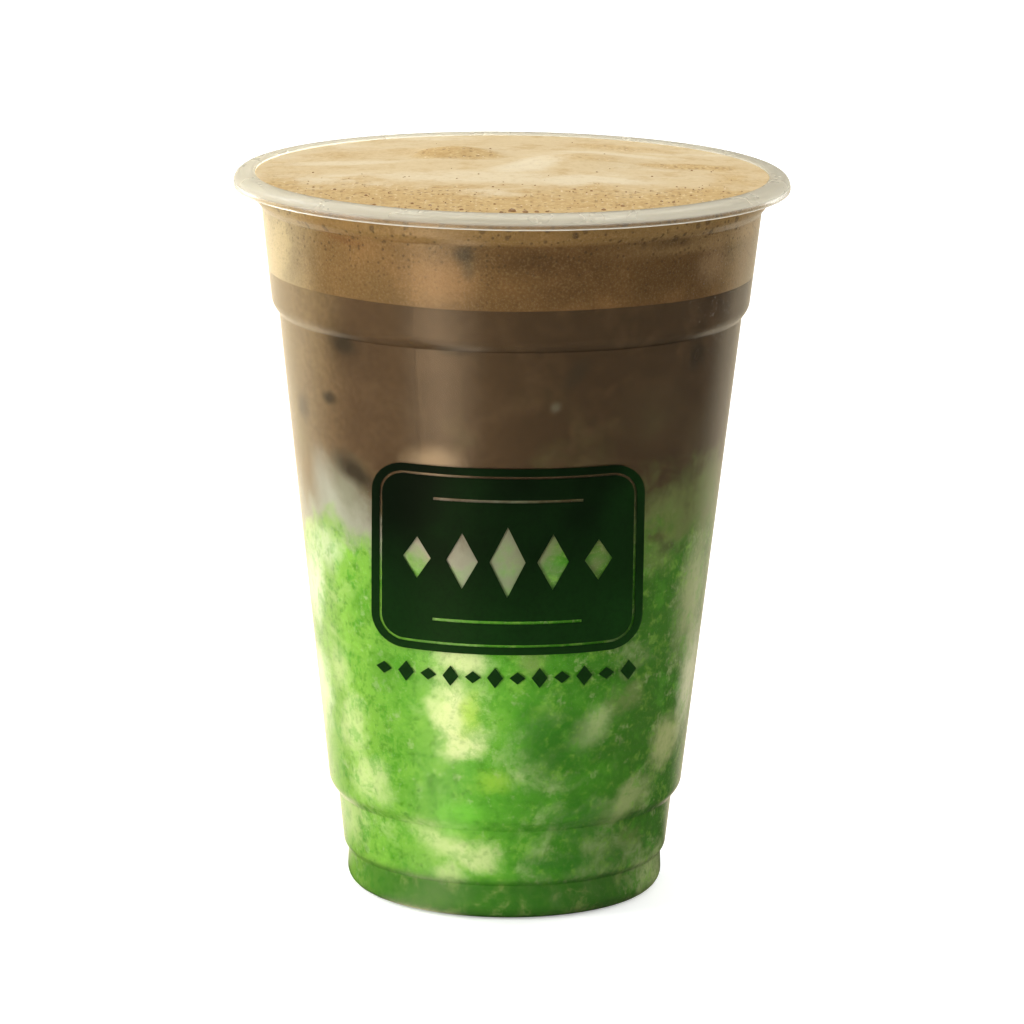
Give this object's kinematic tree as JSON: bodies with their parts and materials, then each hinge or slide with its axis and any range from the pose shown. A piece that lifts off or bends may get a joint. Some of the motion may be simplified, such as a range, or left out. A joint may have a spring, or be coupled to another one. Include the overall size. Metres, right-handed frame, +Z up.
{
  "type": "iced layered latte in a clear plastic cup",
  "caption": "Clear thermoformed takeaway cup, filled to its rolled rim with layers of green milk, roasted tea latte and milk foam.",
  "frame": {"origin": "middle of the foot's underside, on the table", "axes": "+Z up along the cup's axis, the printed panel's middle faces -Y"},
  "size_m": [0.095, 0.095, 0.1263],
  "materials": {
    "clear_plastic": "thin clear thermoformed polypropylene with a soft haze",
    "milk_foam": "soft bubbly milk foam, tan with cream streaks",
    "tea_latte": "cloudy grey-brown roasted tea with milk",
    "green_milk": "cloudy green milk with paler swirls"
  },
  "bodies": {
    "root": {"cup": "clear_plastic", "foam": "milk_foam", "tea_latte": "tea_latte", "green_milk": "green_milk"}
  },
  "joints": []
}
